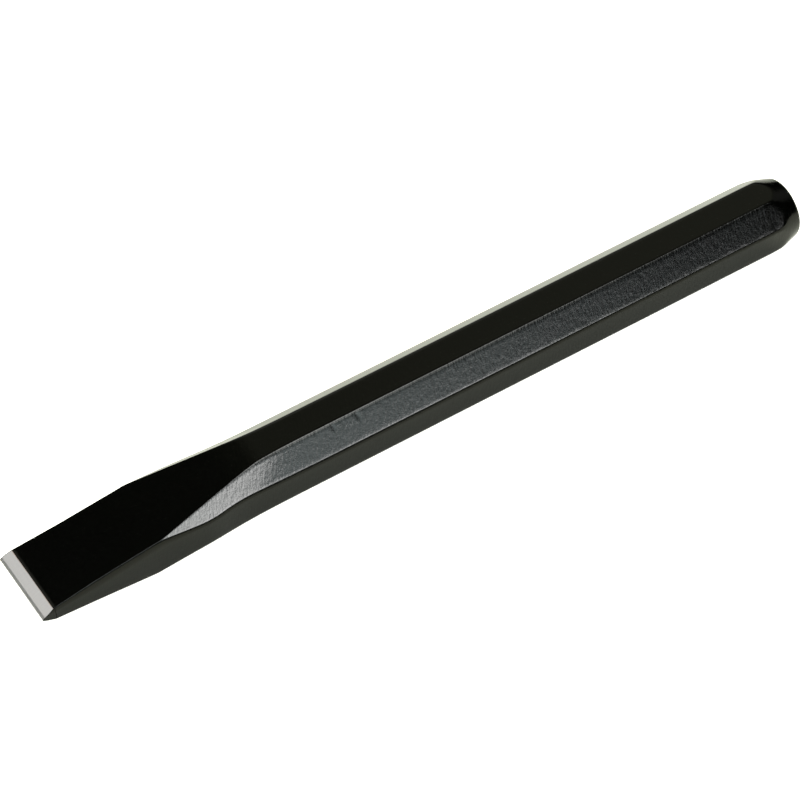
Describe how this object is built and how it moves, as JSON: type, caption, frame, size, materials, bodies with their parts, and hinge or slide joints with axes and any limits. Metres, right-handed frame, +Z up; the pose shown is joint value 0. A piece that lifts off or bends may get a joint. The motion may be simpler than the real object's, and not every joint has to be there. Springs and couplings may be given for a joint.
{
  "type": "cold chisel",
  "caption": "Flat cold chisel for cutting metal: octagonal lacquered shank, forged wedge blade, ground steel cutting edge and a chamfered head to strike.",
  "frame": {"origin": "on the plane of the flat that the chisel lies on, under the middle of its length and width", "axes": "+X from the cutting edge to the struck head, +Y across the blade's width, +Z up, square to the blade's faces"},
  "size_m": [0.2, 0.0192, 0.017],
  "materials": {
    "ground_steel": "bright ground steel with fine grinding lines",
    "black_lacquer": "glossy black lacquer with slight orange peel over forged steel"
  },
  "bodies": {
    "root": {"forged_body": "ground_steel", "lacquer_coat": "black_lacquer"}
  },
  "joints": []
}
